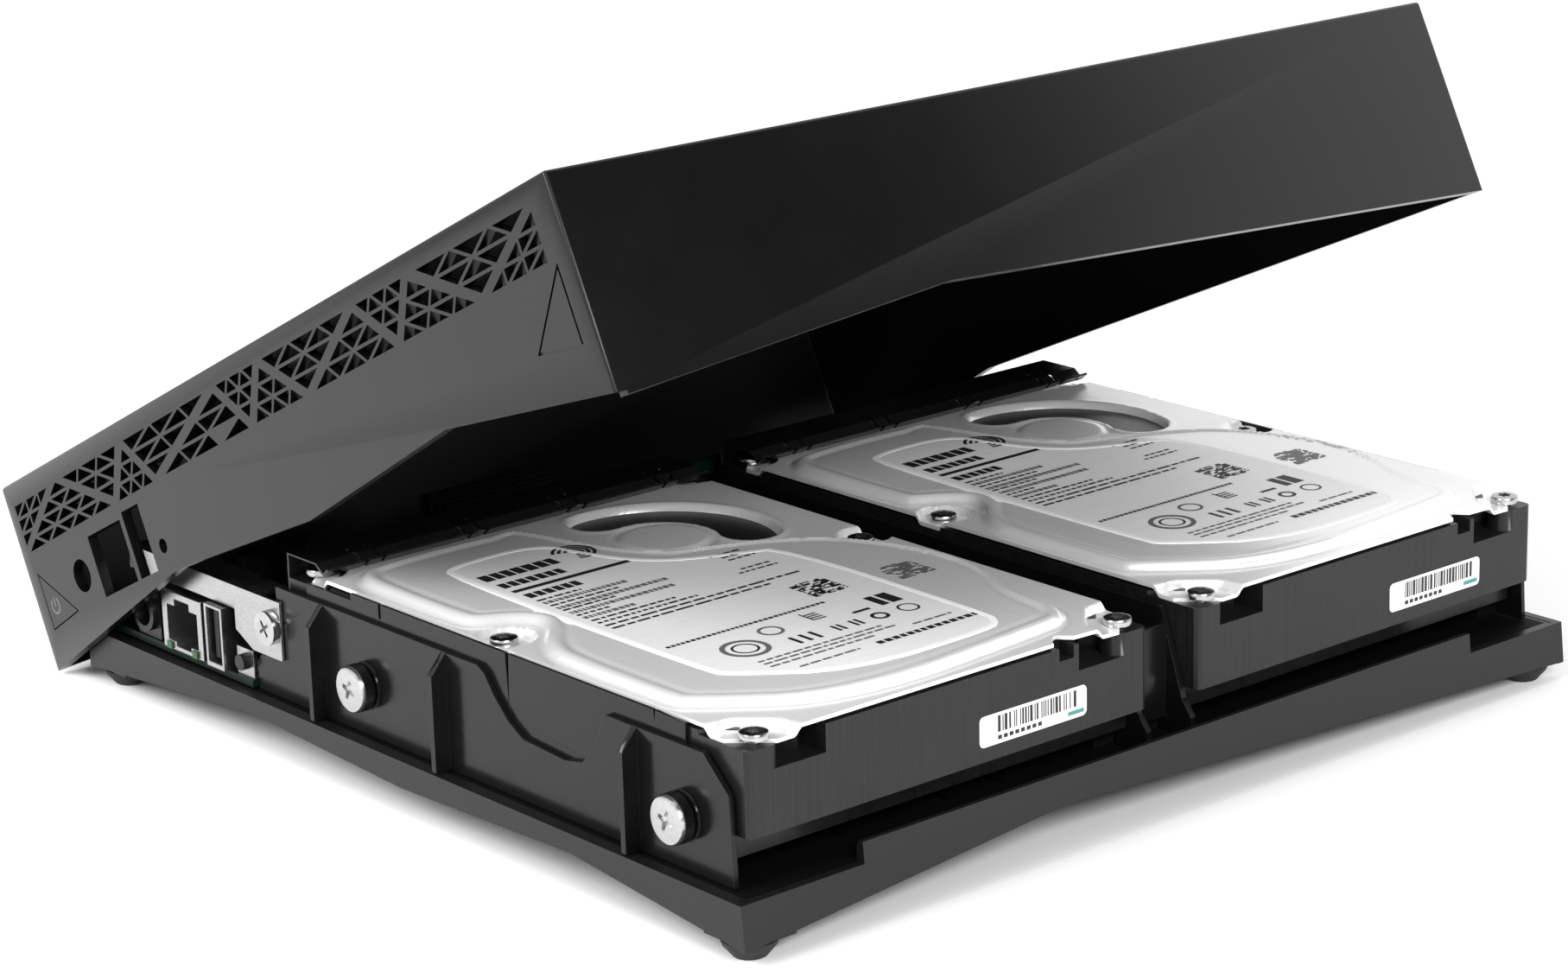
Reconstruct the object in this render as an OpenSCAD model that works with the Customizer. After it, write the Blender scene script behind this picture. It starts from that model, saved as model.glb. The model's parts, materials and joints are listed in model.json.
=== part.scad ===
// Two-bay desktop storage enclosure: shallow tray with two hard disks, and a box lid tipped open.
// X runs along the port panel, +Y points out of the port panel, +Z is up, floor at Z = 0.

/* [Overall] */
// Length of the closed lid along the port panel
lid_x = 231.6; // [231.4:0.1:233]
// Depth of the closed lid across both disks
lid_y = 235.4; // [235.2:0.1:237]
// Height of the lid shell from its corners to its top
lid_h = 43; // [42.8:0.1:44]
// Height of the lid corners over the floor when closed
lid_z = 2.5; // [2.3:0.1:2.8]
// Wall thickness of the lid shell
lid_t = 2.4; // [2:0.1:2.5]
// Angle of the opened lid
lid_open = 26.16; // [20:0.01:26.16]

/* [Tray] */
// Length of the tray along the port panel, at its foot
tray_x = 225.6; // [224.8:0.1:225.8]
// Depth of the tray
tray_y = 229.4; // [228.8:0.1:229.6]
// Thickness of the tray's skirt
skirt_t = 2; // [1.6:0.1:2]
// Top of the skirt
skirt_top = 11.3; // [11.2:0.1:11.6]
// Top of the raised tongue on the long skirt
tongue_top = 15.5; // [14.5:0.1:15.6]
// Length of that tongue
tongue_y = 170; // [150:1:176]
// Top face of the tray floor
floor_top = 11.2; // [11.1:0.1:11.2]
// Thickness of the tray floor
floor_t = 1.8; // [1.5:0.1:1.8]
// Distance of the feet from the tray centre along X
foot_x = 106.6; // [96:0.1:106.6]
// Distance of the feet from the tray centre along Y
foot_y = 108.5; // [96:0.1:108.5]
// Radius of a rubber foot where it meets the tray
foot_r = 5.6; // [4.6:0.1:5.6]

/* [Disks] */
// Length of a 3.5 inch disk
disk_l = 147; // [146:0.1:147]
// Width of a 3.5 inch disk
disk_w = 101.6; // [101.3:0.1:101.7]
// Height of the disk casting over its underside
disk_h = 23.3; // [22:0.1:23.4]
// Underside of the disks over the floor
disk_z = 15.6; // [15.5:0.1:15.8]
// Gap between the two disks
disk_gap = 14.2; // [14:0.1:14.4]
// Free end of the disks along X
disk_x0 = -107.8; // [-107.9:0.1:-107.5]

/* [Rails and thumbscrews] */
// Top of the side rail walls
rail_top = 35.9; // [34:0.1:36.5]
// Outer face of the side rail walls, from the centre plane
rail_y = 110.6; // [110.5:0.1:110.8]
// Reach of the rail fins, from the centre plane
fin_y = 114.2; // [112.5:0.1:114.3]
// Radius of a thumbscrew head
thumb_r = 4.8; // [4.5:0.1:7]
// Outer face of a thumbscrew head, from the centre plane
thumb_y = 114.8; // [113.5:0.1:114.8]

/* [Ports] */
// Power socket centre along X
dc_x = 91.7; // [90:0.1:92]
// Network socket centre along X
net_x = 76.4; // [76:0.1:76.8]
// USB socket centre along X
usb_x = 63.1; // [62.8:0.1:63.4]
// Reset switch centre along X
reset_x = 54.2; // [54:0.1:54.6]

/* [Build] */
// Sub-part to build

/* [Hidden] */
$fn = 48;

lx = lid_x / 2;
ly = lid_y / 2;
tx = tray_x / 2;
ty = tray_y / 2;
axis_x = 112.2;
axis_z = -13.3;
// height of the working plane of all other sizes over the floor
rise = 1;
lid_top = lid_z + lid_h;
// half way between the tray's free edge and the opened lid's far edge
mid_x = (axis_x + (lx - axis_x) * cos(lid_open) + (lid_top - axis_z) * sin(lid_open) - tx) / 2;
floor_bot = floor_top - floor_t;
port_z = 19.2;
disk_y0 = disk_gap / 2;
disk_y1 = disk_y0 + disk_w;
disk_x1 = disk_x0 + disk_l;
disk_top = disk_z + disk_h;
cover_top = disk_top + 1.4;
dome_top = cover_top + 1.1;
// top of the casting under the cover's ears
ear_z = disk_top - 0.9;
guard_top = 42.9;
// standard side holes of a 3.5 inch disk
hole_z = disk_z + 6.35;
hole_xa = disk_x0 + 16.9;
hole_xb = hole_xa + 101.6;
hole_r = 1.9;
board_z = floor_top + 0.6;
board_t = 1.6;
board_top = board_z + board_t;
board_x0 = 51;
board_x1 = 110.4;
board_y0 = -100;
board_y1 = 111.8;
plane_x = 45.6;
col_black = [0.07, 0.07, 0.075];
col_tray = [0.12, 0.12, 0.125];
col_metal = [0.72, 0.72, 0.7];
col_green = [0.08, 0.3, 0.16];

// moves a piece from the tray's own centre to the middle of the opened enclosure's outline
module placed() {
    translate([-mid_x, 0, rise]) children();
}

// upright plate: outline in X and Z, from y0 to y1
module plate_xz(y0, y1) {
    translate([0, y1, 0]) rotate([90, 0, 0]) linear_extrude(y1 - y0) children();
}

// upright plate: outline in Y and Z, from x0 to x1
module plate_yz(x0, x1) {
    translate([x0, 0, 0]) rotate([90, 0, 90]) linear_extrude(x1 - x0) children();
}

// block between two corners
module block(a, b) {
    translate(a) cube([b[0] - a[0], b[1] - a[1], b[2] - a[2]]);
}

// rod along Y from y0 to y1
module rod_y(x, z, y0, y1, r) {
    translate([x, y1, z]) rotate([90, 0, 0]) cylinder(r = r, h = y1 - y0);
}

// folded lower edge of a side that has three kinks
function fold3(h, z0, a, b, c) = [[-h, z0], [-h * 0.545, z0 + c], [-h * 0.055, z0 + b],
    [h * 0.425, z0 + a], [h, z0]];

// folded lower edge of a side that has one kink
function fold1(h, z0, a) = [[-h, z0], [h * 0.29, z0 + a], [h, z0]];

module outline(edge, h, top) {
    polygon(concat(edge, [[h, top], [-h, top]]));
}

// folded lower edge of the lid's wall away from the ports
function lid_far_edge(h) = [[-h, lid_z], [51, lid_z + 7.6], [h, lid_z]];

// the same on the port side
function lid_edge(h) = [[-h, lid_z], [-61, lid_z + 9], [-5, lid_z + 5], [51, lid_z + 8.4], [h, lid_z]];

// ---------------------------------------------------------------- tray

module floor_slots() {
    for (s = [-1, 1]) for (i = [0 : 9]) for (j = [0 : 5])
        translate([-98 + i * 13.4, s * (24 + j * 13.6) - 1, floor_bot - 1]) cube([8, 2, floor_t + 2]);
}

module tray() {
    color(col_tray) difference() {
        union() {
            block([-tx + 1.7, -ty + 1, floor_bot], [tx - 1, ty - 1, floor_top]);
            plate_xz(ty - skirt_t, ty) outline(fold3(tx, 2.4, 5.2, 3.1, 4.9), tx, skirt_top);
            plate_xz(-ty, -ty + skirt_t) outline(fold3(tx, 2.4, 5.2, 3.1, 4.9), tx, skirt_top);
            plate_yz(tx - skirt_t, tx) outline(fold1(ty, 2.4, 6.8), ty, skirt_top);
            plate_yz(-tx, -tx + skirt_t) outline(fold1(ty, 2.4, 6.8), ty, skirt_top);
            plate_xz(-tongue_y / 2, tongue_y / 2)
                polygon([[-tx, skirt_top - 1], [-tx + 3.2, skirt_top - 1], [-tx + 3.2, tongue_top - 1.4],
                    [-tx + 2.4, tongue_top], [-tx, tongue_top]]);
            // solid corners over the feet
            for (a = [0, 1]) for (b = [0, 1]) mirror([a, 0, 0]) mirror([0, b, 0])
                block([tx - 13, ty - 13, 2.4], [tx - 1, ty - 1, floor_bot + 0.5]);
        }
        // the long skirt leans inwards, so the lid can swing past it
        plate_xz(-ty - 1, ty + 1) polygon([[-tx - 1, 1], [-tx, 1], [-tx, 2.4],
            [-tx + 1.3, tongue_top + 0.1], [-tx + 1.3, tongue_top + 2], [-tx - 1, tongue_top + 2]]);
        floor_slots();
        for (x = [board_x0 + 5, board_x1 - 5]) for (y = [board_y0 + 6, board_y1 - 24])
            translate([x, y, floor_bot - 1]) cylinder(r = 1.45, h = 6);
        for (y = [106.6, 0, -106.6]) for (x = [-60, 0])
            translate([x, y, floor_bot - 1]) cylinder(r = 1.45, h = 6);
    }
    color(col_tray) for (x = [board_x0 + 5, board_x1 - 5]) for (y = [board_y0 + 6, board_y1 - 24])
        translate([x, y, floor_top - 0.2]) difference() {
            cylinder(r = 3.4, h = 0.8);
            translate([0, 0, -1]) cylinder(r = 1.45, h = 3);
        }
}

module feet() {
    color([0.05, 0.05, 0.05]) for (x = [-foot_x, foot_x]) for (y = [-foot_y, foot_y])
        translate([x, y, -rise]) union() {
            cylinder(r1 = foot_r - 2.2, r2 = foot_r - 0.4, h = 2.2);
            translate([0, 0, 2.2]) cylinder(r1 = foot_r - 0.4, r2 = foot_r, h = rise + 0.1);
        }
}

// ---------------------------------------------------------------- lid

module swing() {
    translate([axis_x, 0, axis_z]) rotate([0, lid_open, 0]) translate([-axis_x, 0, -axis_z]) children();
}

// a small triangle of a divided vent, g inside its corners' own lines
module cell(a, b, c, g) {
    m = (a + b + c) / 3;
    // distance of the middle from the nearest side sets how much the cell shrinks
    d = min([for (e = [[a, b], [b, c], [c, a]]) side_gap(m, e[0], e[1])]);
    k = 1 - g / d;
    polygon([m + (a - m) * k, m + (b - m) * k, m + (c - m) * k]);
}

function side_gap(m, a, b) = abs((b[0] - a[0]) * (a[1] - m[1]) - (a[0] - m[0]) * (b[1] - a[1])) / norm(b - a);

// a large triangle divided by thin bars into n rows of cells
module vent(a, b, c, n) {
    u = (b - a) / n;
    v = (c - a) / n;
    for (i = [0 : n - 1]) for (j = [0 : n - 1 - i]) {
        p = a + u * i + v * j;
        cell(p, p + u, p + v, 0.36);
        if (i + j < n - 1) cell(p + u, p + u + v, p + v, 0.36);
    }
}

module vent_band() {
    vent([-108.9, 40.5], [-108.9, 29.9], [-87.6, 29.9], 3);
    vent([-108.2, 41.7], [-65.8, 41.7], [-86, 30.7], 3);
    vent([-84, 29.9], [-55.9, 29.9], [-63.9, 41], 3);
    vent([-62.7, 41.7], [-43.8, 41.7], [-55, 31.2], 3);
    vent([-54.2, 29.9], [-20.7, 29.9], [-42.5, 40.8], 3);
    vent([-40.7, 41.7], [-5.2, 41.7], [-19, 30.8], 3);
    vent([-17.3, 29.9], [3.6, 29.9], [-4, 40.7], 3);
    vent([-2.7, 41.7], [14.8, 41.7], [5, 31.3], 3);
    difference() {
        vent([5.8, 29.8], [45.6, 29.8], [15.9, 40.8], 3);
        // one cell stays closed
        polygon([[19.3, 29], [32.3, 29], [23, 33.3], [21.6, 33.3]]);
    }
    vent([18.4, 41.6], [57.9, 41.4], [48, 30.6], 3);
    vent([49.2, 29.6], [66.6, 29.5], [58.5, 40.3], 3);
    vent([60.2, 41.3], [88.6, 41], [68, 30.8], 3);
    vent([68.6, 29.5], [112.4, 29], [91, 41], 4);
    vent([94, 40.8], [112.4, 40.6], [112.4, 30.4], 3);
}

module button_outline(g) {
    polygon([[111 + g, 23.8 + 2.2 * g], [98.5 - 2.2 * g, 12.8 - 0.4 * g], [111 + g, 11.5 - 1.2 * g]]);
}

module mark_outline(g) {
    polygon([[-111 - g, 28.9 + 2.2 * g], [-97.3 + 2.2 * g, 16], [-111 - g, 13.8 - 1.3 * g]]);
}

module lid_shell() {
    color(col_black) swing() difference() {
        union() {
            block([-lx, -ly, lid_top - lid_t], [lx, ly, lid_top]);
            plate_xz(ly - lid_t, ly) difference() {
                outline(lid_edge(lx), lx, lid_top);
                vent_band();
                translate([dc_x, port_z]) circle(r = 3.7);
                translate([net_x - 7.9, 12.5]) square([15.8, 13.8]);
                translate([usb_x - 3.9, 12.5]) square([7.8, 15]);
                translate([reset_x, 16.8]) circle(r = 1.9);
                button_outline(0.25);
            }
            plate_xz(-ly, -ly + lid_t) outline(lid_far_edge(lx), lx, lid_top);
            plate_yz(lx - lid_t, lx) outline(fold1(ly, lid_z, 7.1), ly, lid_top);
            plate_yz(-lx, -lx + lid_t) outline(fold1(ly, lid_z, 7.1), ly, lid_top);
            // stiffening ribs inside the tall wall
            for (y = [-80 : 40 : 80]) block([-lx + 1, y - 0.7, 19], [-lx + 3.4, y + 0.7, lid_top - 1]);
        }
        plate_xz(ly - 0.4, ly + 1) difference() {
            mark_outline(0);
            mark_outline(-0.5);
        }
    }
}

module power_button() {
    color([0.05, 0.05, 0.05]) swing() {
        plate_xz(ly - lid_t - 0.2, ly) button_outline(0);
        // flange that stays above the tray's skirt
        plate_xz(ly - lid_t - 1.2, ly - lid_t - 0.2)
            polygon([[111.7, 25.2], [97.2, 13.2], [98.6, 12.6], [111.7, 11.9]]);
        rod_y(107, 16.4, ly - lid_t - 2.6, ly - lid_t - 1.2, 1.6);
    }
}

// ---------------------------------------------------------------- rails

module rail_outline() {
    difference() {
        polygon([[-105.4, floor_top + 0.2], [50.6, floor_top + 0.2], [50.6, 17.4],
            [48.8, 19.4], [47.4, 19.6], [47.4, 32], [41.8, 32], [41.8, rail_top], [-97.4, rail_top], [-104.4, 29.4]]);
        // finger cut-out over the middle of the disk
        polygon([[-27.2, rail_top + 1], [-28.8, rail_top - 0.2], [-30.6, rail_top - 1.2], [-33.4, 31],
            [-38, 26.6], [-42.4, 24.2], [-55.6, 23.4], [-61, 24.4], [-64.4, 27.6], [-66.4, 31.6],
            [-67.4, rail_top - 1.6], [-68.8, rail_top], [-69.4, rail_top + 1]]);
        for (x = [hole_xa, hole_xb]) translate([x, hole_z]) circle(r = 2.3);
        translate([43, 27]) circle(r = 1.5);
    }
}

module side_rail(s) {
    mirror([0, s < 0 ? 1 : 0, 0]) {
        plate_xz(rail_y - 1.1, rail_y) rail_outline();
        for (x = [hole_xa, hole_xb]) difference() {
            rod_y(x, hole_z, rail_y - 0.2, rail_y + 0.3, 5);
            rod_y(x, hole_z, rail_y - 1, rail_y + 1, 2.3);
        }
        for (x = [25.4, -17.2, -77.4]) plate_yz(x - 0.7, x + 0.7)
            polygon([[rail_y - 0.2, skirt_top + 0.1], [fin_y, skirt_top + 0.1], [fin_y, rail_top - 4.3],
                [rail_y, rail_top - 0.1], [rail_y - 0.2, rail_top - 0.1]]);
        // ledge under the edge of the disk, screwed to the floor
        difference() {
            block([-98, 103.6, floor_top + 0.02], [35, rail_y - 0.6, disk_z - 0.05]);
            for (x = [-60, 0]) translate([x, 106.6, floor_top - 1]) cylinder(r = 1.6, h = 9);
            for (x = [-60, 0]) translate([x, 106.6, disk_z - 2.2]) cylinder(r = 3.2, h = 4);
        }
    }
}

module rail_rear() { color(col_black) side_rail(1); }

module rail_front() { color(col_black) side_rail(-1); }

module rail_middle() {
    color(col_black) difference() {
        union() {
            block([-98, -disk_y0 - 5, floor_top + 0.02], [35, disk_y0 + 5, disk_z - 0.05]);
            for (y = [0.9 - disk_y0, disk_y0 - 0.9]) plate_xz(y - 0.7, y + 0.7)
                polygon([[-107.4, floor_top + 0.02], [39.6, floor_top + 0.02], [39.6, 37.2],
                    [-99, 37.2], [-104.9, 19.2], [-107.4, 15.9]]);
            for (x = [-100, -50, 40]) block([x - 0.7, -disk_y0 + 1, disk_z - 1], [x + 0.7, disk_y0 - 1, 34]);
        }
        for (x = [-60, 0]) translate([x, 0, floor_top - 1]) cylinder(r = 1.6, h = 9);
        for (x = [-60, 0]) translate([x, 0, disk_z - 2.2]) cylinder(r = 3.2, h = 4);
    }
}

module rail_screws() {
    color(col_metal) for (y = [106.6, 0, -106.6]) for (x = [-60, 0]) translate([x, y, 0]) {
        translate([0, 0, floor_bot + 0.1]) cylinder(r = 1.4, h = disk_z - 2.2 - floor_bot);
        difference() {
            translate([0, 0, disk_z - 2.15]) cylinder(r = 2.8, h = 1.7);
            for (a = [0, 90]) rotate([0, 0, a]) translate([-1.6, -0.3, disk_z - 1.1]) cube([3.2, 0.6, 2]);
        }
    }
}

module liner(s) {
    color([0.09, 0.09, 0.095]) mirror([0, s < 0 ? 1 : 0, 0]) plate_xz(disk_y1 + 0.05, disk_y1 + 0.75)
        difference() {
            polygon([[-91.1, 17], [32, 17], [32, 38.6], [16, 38.6], [16, 40], [6.2, 40], [6.2, 37], [5.4, 37],
                [5.4, 40], [-36.2, 40], [-36.8, 30], [-37.2, 40], [-81.8, 40], [-82.1, 37.6], [-82.4, 40],
                [-91.1, 39.6]]);
            for (x = [hole_xa, hole_xb]) translate([x, hole_z]) circle(r = 2.3);
        }
}

module thumbscrew(x, s) {
    mirror([0, s < 0 ? 1 : 0, 0]) difference() {
        union() {
            rod_y(x, hole_z, rail_y + 0.4, thumb_y, thumb_r);
            rod_y(x, hole_z, disk_y1 - 4.4, rail_y + 0.5, hole_r - 0.06);
            for (a = [0 : 11.25 : 359]) translate([x, 0, hole_z]) rotate([0, a, 0])
                translate([thumb_r - 0.2, rail_y + 0.7, -0.3]) cube([0.4, thumb_y - rail_y - 1.2, 0.6]);
        }
        for (a = [45, 135]) translate([x, thumb_y, hole_z]) rotate([0, a, 0])
            translate([-2.2, -1.2, -0.45]) cube([4.4, 2.4, 0.9]);
    }
}

// ---------------------------------------------------------------- disks

// moves a drawing from the cover's own corner, beside the ports and the free end
module on_cover() {
    translate([disk_x0, disk_w, 0]) mirror([0, 1, 0]) children();
}

// plan of the stamped cover, with cut corners and notches round its side screws
module cover_plan() {
    difference() {
        polygon([[0.8, 12.2], [11.6, 0.9], [disk_l - 12.6, 0.9], [disk_l - 1.8, 12.2],
            [disk_l - 1.8, disk_w - 12.2], [disk_l - 12.6, disk_w - 0.9], [11.6, disk_w - 0.9],
            [0.8, disk_w - 12.2]]);
        translate([79, 4.4]) circle(r = 4.6);
        translate([79, disk_w - 3.4]) circle(r = 4.6);
        translate([0, 76.5]) square([3.4, 5.5]);
    }
}

// plan of the drawn dome over the platters
module dome_plan() {
    polygon([[1.6, 27], [21, 3.2], [25, 1.9], [57, 1.9], [64, 3.6], [70, 7], [75, 11.5], [80, 13.4],
        [84, 10], [87, 4.6], [90, 2.2], [122, 2.2], [128, 4], [133, 9], [133, 45], [126, 48],
        [118, 50], [108, 52.5], [101, 56], [97, 60], [94, 66], [91, 74], [86, 83], [80, 90],
        [70, 95.5], [60, 98.4], [50, 98.8], [40, 97], [30, 93], [20, 92.3], [13, 91.5], [8, 88],
        [6.3, 84]]);
}

module at_disk(n) {
    if (n == 1) translate([0, disk_y0, 0]) children();
    else translate([0, -disk_y1, 0]) children();
}

screw_u = [3.6, 79, disk_l - 4.6];

// places a drawing at both free-end corners
module both_corners() {
    for (s = [0, 1]) translate([0, s * disk_w, 0]) mirror([0, s, 0]) children();
}

module all_corners() {
    for (e = [0, 1]) translate([e * (disk_l - 1), 0, 0]) mirror([e, 0, 0]) both_corners() children();
}

module disk_body(n) {
    color([0.1, 0.1, 0.105]) at_disk(n) difference() {
        translate([0, 0, disk_z]) linear_extrude(disk_top - disk_z) on_cover()
            polygon([[0, 1.2], [0.4, 0.4], [1.2, 0], [disk_l, 0], [disk_l, disk_w], [1.2, disk_w],
                [0.4, disk_w - 0.4], [0, disk_w - 1.2]]);
        // recess for the circuit board
        block([disk_x0 + 34, 6, disk_z - 1], [disk_x1 - 4, disk_w - 6, disk_z + 2.2]);
        // undercut at the free end
        block([disk_x0 - 1, -1, disk_z - 1], [disk_x0 + 6, disk_w + 1, disk_z + 5.5]);
        // pockets beside the round corner posts
        translate([0, 0, disk_top - 5.5]) linear_extrude(7) on_cover() both_corners() difference() {
            polygon([[-1, 4.6], [8, 4.6], [11, 8], [8, 18.6], [-1, 18.6]]);
            translate([3.6, 4.6]) circle(r = 3.9);
        }
        // lower seats under the cover's ears
        translate([0, 0, ear_z]) linear_extrude(2) on_cover() {
            all_corners() polygon([[-2, -1], [15, -1], [-2, 16.4]]);
            for (v = [4.4, disk_w - 3.4]) translate([79, v]) circle(r = 6);
        }
        block([disk_x0 - 1, disk_w - 81.7, disk_top - 2.5], [disk_x0 + 4, disk_w - 77.8, disk_top + 1]);
        for (x = [hole_xa, hole_xb]) {
            if (n == 1) rod_y(x, hole_z, disk_w - 6, disk_w + 1, hole_r);
            else rod_y(x, hole_z, -1, 6, hole_r);
        }
        // seat of the data and power plug
        block([disk_x1 - 5, 12, disk_z + 2], [disk_x1 + 1, 54, disk_z + 9]);
        for (u = screw_u) for (v = [4.6, disk_w - 4.6])
            translate([disk_x0 + u, v, disk_top - 5]) cylinder(r = 1.4, h = 7);
    }
}

function arc_points(x, y, r, a0, a1, n) =
    [for (i = [0:n]) [x + r * cos(a0 + (a1 - a0) * i / n), y + r * sin(a0 + (a1 - a0) * i / n)]];

// plan of the curved well over the voice coil, as a bent slot round a boss
module well_plan(mid = 19.2, half = 6.3, from = -5, to = 117) {
    translate([107, 66]) polygon(concat(
        arc_points(0, 0, mid + half, from, to, 20),
        arc_points(mid * cos(to), mid * sin(to), half, to + 22, to + 158, 5),
        arc_points(0, 0, mid - half, to, from, 14),
        arc_points(mid * cos(from), mid * sin(from), half, from - 158, from - 22, 5)));
}

// the part of the cover's plan round the side screws
module beside_screws(r) {
    for (v = [4.4, disk_w - 3.4]) intersection() {
        translate([79, v]) circle(r = r);
        translate([70, v < 50 ? 0.9 : 90]) square([18, v < 50 ? 12 : disk_w - 90.9]);
    }
}

module disk_cover(n) {
    color(col_metal) at_disk(n) difference() {
        union() {
            translate([0, 0, disk_top + 0.02]) linear_extrude(cover_top - disk_top - 0.02)
                on_cover() cover_plan();
            translate([0, 0, cover_top - 0.2]) linear_extrude(dome_top - cover_top + 0.2)
                on_cover() dome_plan();
            // low ears under the corner and side screws, with the steps down to them
            translate([0, 0, ear_z + 0.02]) on_cover() {
                linear_extrude(0.78) all_corners()
                    polygon([[0.3, 7.4], [0.3, 13.4], [0.8, 13.4], [12.8, 0.9], [12.8, 0.3], [7, 0.3]]);
                linear_extrude(cover_top - ear_z - 0.02) all_corners()
                    polygon([[0.8, 12.2], [11.6, 0.9], [12.8, 0.9], [0.8, 13.4]]);
                linear_extrude(0.78) beside_screws(5.4);
                linear_extrude(cover_top - ear_z - 0.02) difference() {
                    beside_screws(5.4);
                    for (v = [4.4, disk_w - 3.4]) translate([79, v]) circle(r = 4.6);
                }
            }
        }
        for (u = screw_u) for (v = [4.6, disk_w - 4.6])
            translate([disk_x0 + u, v, disk_top - 1]) cylinder(r = 1.6, h = 4);
        translate([0, 0, dome_top - 2.2]) linear_extrude(4) on_cover() well_plan();
    }
}

module disk_screws(n) {
    color(col_metal) at_disk(n) for (u = screw_u) for (v = [4.6, disk_w - 4.6])
        translate([disk_x0 + u, v, ear_z + 0.26]) {
            translate([0, 0, -3.6]) cylinder(r = 1.35, h = 4.2);
            difference() {
                translate([0, 0, 0.56]) cylinder(r = 2.9, h = 1.5);
                translate([0, 0, 1.2]) cylinder(r = 1.2, h = 2, $fn = 6);
            }
        }
}

module disk_label(n) {
    color([0.85, 0.85, 0.84]) at_disk(n) translate([0, 0, dome_top + 0.01]) linear_extrude(0.12)
        on_cover() polygon([[12, 37], [27, 18.5], [31, 16.5], [115, 16.5], [120, 21], [120, 44],
            [107, 47.5], [98, 51], [92.5, 56], [89, 63], [86, 71], [82, 78], [20, 78], [15, 76.5],
            [12, 72]]);
}

// thin sheet on the free end, from v0 to v1 across and z0 to z1 over the underside
module on_end(v0, v1, z0, z1) {
    block([disk_x0 - 0.12, disk_w - v1, disk_z + z0], [disk_x0 - 0.01, disk_w - v0, disk_z + z1]);
}

module disk_sticker(n) {
    color([0.92, 0.92, 0.92]) at_disk(n) on_end(56.7, 84.9, 8.4, 14.7);
}

module disk_board(n) {
    color(col_green) at_disk(n) block([disk_x0 + 36, 8, disk_z + 0.5], [disk_x1 - 5.5, disk_w - 8, disk_z + 1.9]);
}

module disk_plug(n) {
    color(col_black) at_disk(n) difference() {
        block([disk_x1 - 4.9, 14, disk_z + 2.4], [disk_x1 + 1, 52, disk_z + 8.6]);
        block([disk_x1 - 3, 16, disk_z + 3.4], [disk_x1 + 2, 32, disk_z + 6.6]);
        block([disk_x1 - 3, 34, disk_z + 3.4], [disk_x1 + 2, 50, disk_z + 6.6]);
    }
}

// ---------------------------------------------------------------- connector end

// bent sheet behind and over a disk's plug end, with slots that leave spring tabs
module cable_guard(n) {
    color([0.1, 0.1, 0.1]) at_disk(n) difference() {
        plate_xz(0.2, disk_w - 0.8) polygon([[40.4, floor_top + 0.05], [45.2, floor_top + 0.05],
            [45.2, floor_top + 0.55], [40.9, floor_top + 0.55], [40.9, guard_top], [30.3, guard_top],
            [27.9, guard_top - 1.7], [26.3, guard_top - 0.4], [25.9, guard_top - 0.8],
            [27.9, guard_top - 2.4], [30.5, guard_top - 0.5], [40.4, guard_top - 0.5]]);
        for (i = [0 : 3]) for (d = [-2.1, 2.1])
            block([24, 10.4 + i * 26.1 + d - 0.5, guard_top - 4], [34, 10.4 + i * 26.1 + d + 0.5, 50]);
        // window for the data and power socket
        block([40, 12.4, disk_z + 1.2], [plane_x + 1, 53.6, disk_z + 9.8]);
    }
}

module backplane() {
    color(col_green) block([plane_x, -104, 13.4], [plane_x + 1.6, 104, 38]);
}

module backplane_sockets() {
    color(col_black) for (n = [1, 2]) at_disk(n) difference() {
        block([disk_x1 + 1.2, 13, disk_z + 1.6], [plane_x - 0.02, 53, disk_z + 9.4]);
        block([disk_x1, 15, disk_z + 3.2], [plane_x - 2, 51, disk_z + 7]);
    }
}

module main_board() {
    color(col_green) difference() {
        block([board_x0, board_y0, board_z + 0.02], [board_x1, board_y1, board_top]);
        for (x = [board_x0 + 5, board_x1 - 5]) for (y = [board_y0 + 6, board_y1 - 24])
            translate([x, y, board_z - 1]) cylinder(r = 1.6, h = 4);
    }
}

module board_screws() {
    color(col_metal) for (x = [board_x0 + 5, board_x1 - 5]) for (y = [board_y0 + 6, board_y1 - 24])
        translate([x, y, 0]) {
            translate([0, 0, floor_bot + 0.2]) cylinder(r = 1.4, h = board_top - floor_bot - 0.1);
            difference() {
                translate([0, 0, board_top + 0.02]) cylinder(r = 2.8, h = 1.8);
                for (a = [0, 90]) rotate([0, 0, a]) translate([-1.6, -0.3, board_top + 1]) cube([3.2, 0.6, 2]);
            }
        }
}

module port_bracket() {
    color(col_metal) {
        plate_xz(rail_y + 0.1, rail_y + 0.9) difference() {
            polygon([[39.6, 20.2], [50.4, 20.2], [56.8, 23.4], [56.8, 27.8], [98, 27.8], [98, 33], [39.6, 33]]);
            translate([43, 27]) circle(r = 1.6);
        }
        block([48, rail_y - 7, 32.2], [98, rail_y + 0.9, 33]);
    }
}

module bracket_screw() {
    color(col_metal) {
        rod_y(43, 27, rail_y - 2.2, rail_y + 1, 1.45);
        difference() {
            rod_y(43, 27, rail_y + 0.95, rail_y + 2.7, 3.7);
            for (a = [35, 125]) translate([43, rail_y + 2.7, 27]) rotate([0, a, 0])
                translate([-1.9, -1.1, -0.35]) cube([3.8, 2.2, 0.7]);
        }
    }
}

module network_socket() {
    color(col_metal) difference() {
        block([net_x - 7.8, 96, board_top + 0.02], [net_x + 7.8, 112.6, 26.6]);
        block([net_x - 6, 98.4, 15.4], [net_x + 6, 113.6, 23.4]);
        block([net_x - 3, 98.4, 14.4], [net_x + 3, 113.6, 25]);
    }
}

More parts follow.
